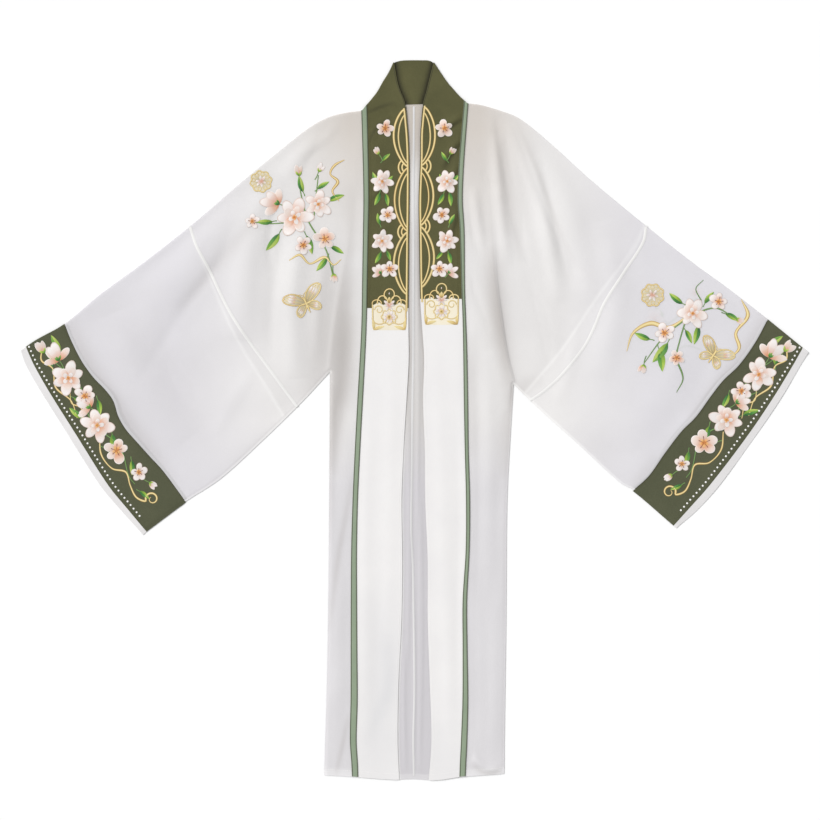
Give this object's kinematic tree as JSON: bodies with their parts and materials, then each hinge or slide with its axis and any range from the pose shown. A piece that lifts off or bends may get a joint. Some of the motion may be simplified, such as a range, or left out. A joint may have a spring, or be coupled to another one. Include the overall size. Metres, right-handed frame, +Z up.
{
  "type": "hanfu robe laid flat",
  "caption": "Open-fronted hanfu robe laid flat, in sheer white cloth with wide sleeves, olive collar and cuffs, white front bands and sage stripes.",
  "frame": {"origin": "middle of the robe's outline on the surface it lies on", "axes": "+Z up from the surface, +Y from hem to collar, +X from the sleeve on the left to the one on the right as seen from above"},
  "size_m": [1.457, 1.3316, 0.0099],
  "materials": {
    "sheer": "sheer woven",
    "satin": "satin",
    "olive": "matt woven",
    "sage": "satin",
    "piping": "matt woven",
    "gold": "satin stitch",
    "blossom": "satin stitch",
    "leaf": "satin stitch"
  },
  "bodies": {
    "root": {"body_left": "sheer", "body_right": "sheer", "sleeve_left": "sheer", "sleeve_right": "sheer", "cuff_left": "olive", "cuff_right": "olive", "cuff_lining_left": "satin", "cuff_lining_right": "satin", "collar": "olive", "front_band_left": "satin", "front_band_right": "satin", "stripe_left": "sage", "stripe_right": "sage", "piping_left_inner": "piping", "piping_left_outer": "piping", "piping_right_inner": "piping", "piping_right_outer": "piping"}
  },
  "joints": []
}
